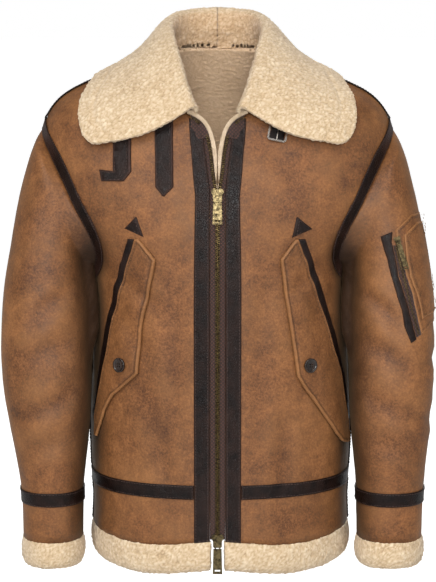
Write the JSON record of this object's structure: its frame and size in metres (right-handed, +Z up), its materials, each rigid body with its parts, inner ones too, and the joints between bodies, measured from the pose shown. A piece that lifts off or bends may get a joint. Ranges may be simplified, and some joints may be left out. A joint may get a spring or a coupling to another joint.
{
  "type": "shearling flight jacket",
  "caption": "Short waxed brown shearling flight jacket with a wide fleece collar, zipped front, dark leather trims, slanted flap pockets and a sleeve pocket, hollow as worn",
  "frame": {"origin": "midway between the two side neck points, at their height, where the jacket hangs from the wearer", "axes": "+X to the wearer's left, -Y to the front, +Z up"},
  "size_m": [0.6213, 0.2886, 0.7962],
  "materials": {
    "suede": "waxed brown suede side of shearling, rubbed lighter along its edges",
    "dark_leather": "smooth dark brown trim leather with a low gloss",
    "fleece": "curly cream sheep's wool in dense clumps",
    "webbing": "woven reddish brown zip tape",
    "old_brass": "antique brass, dark in its recesses",
    "steel": "polished nickel-plated steel",
    "dark_steel": "blackened steel eyelets",
    "horn": "dark polished horn"
  },
  "bodies": {
    "jacket": {"armhole_tape_left": "dark_leather", "armhole_tape_right": "dark_leather", "back": "suede", "buckle_frame_inner": "steel", "buckle_frame_outer": "steel", "buckle_keeper_inner": "dark_leather", "buckle_keeper_outer": "dark_leather", "buckle_prong_inner": "steel", "buckle_prong_outer": "steel", "button_left": "horn", "button_right": "horn", "collar_left": "fleece", "collar_right": "fleece", "collar_strap_inner": "dark_leather", "collar_strap_outer": "dark_leather", "cuff_fleece_left": "fleece", "cuff_fleece_right": "fleece", "cuff_tape_left": "dark_leather", "cuff_tape_right": "dark_leather", "eyelet_inner_1": "dark_steel", "eyelet_inner_2": "dark_steel", "eyelet_inner_3": "dark_steel", "eyelet_outer_1": "dark_steel", "eyelet_outer_2": "dark_steel", "front_left": "suede", "front_right": "suede", "hem_fleece": "fleece", "hem_tape": "dark_leather", "placket_left": "dark_leather", "placket_right": "dark_leather", "pocket_arrowhead_left": "dark_leather", "pocket_arrowhead_right": "dark_leather", "pocket_flap_left": "suede", "pocket_flap_right": "suede", "pocket_welt_left": "dark_leather", "pocket_welt_right": "dark_leather", "shoulder_tape_left": "dark_leather", "shoulder_tape_right": "dark_leather", "side_tape_left": "dark_leather", "side_tape_lower_left": "dark_leather", "side_tape_lower_right": "dark_leather", "side_tape_right": "dark_leather", "sleeve_left_back": "suede", "sleeve_left_front": "suede", "sleeve_pen_pocket": "suede", "sleeve_pocket_patch": "suede", "sleeve_pocket_welt": "dark_leather", "sleeve_pocket_zip_tape": "webbing", "sleeve_right_back": "suede", "sleeve_right_front": "suede", "slider_bottom": "old_brass", "slider_sleeve": "old_brass", "slider_top": "old_brass", "zip_tape_left": "webbing", "zip_tape_right": "webbing"},
    "tab_top": {"pull_tab_top": "old_brass"},
    "tab_bottom": {"pull_tab_bottom": "old_brass"},
    "tab_sleeve": {"pull_tab_sleeve": "old_brass"}
  },
  "joints": [
    {"name": "top_tab_swing", "type": "hinge", "parent": "jacket", "child": "tab_top", "pos_m": [0, -0.13841, -0.18935], "axis": [-1, 0, 0], "range_deg": [0, 140]},
    {"name": "bottom_tab_swing", "type": "hinge", "parent": "jacket", "child": "tab_bottom", "pos_m": [0, -0.15292, -0.67391], "axis": [-1, 0, 0], "range_deg": [0, 140]},
    {"name": "sleeve_tab_swing", "type": "hinge", "parent": "jacket", "child": "tab_sleeve", "pos_m": [0.25191, -0.10127, -0.25516], "axis": [-0.9478, -0.1939, -0.2531], "range_deg": [0, 140]}
  ]
}
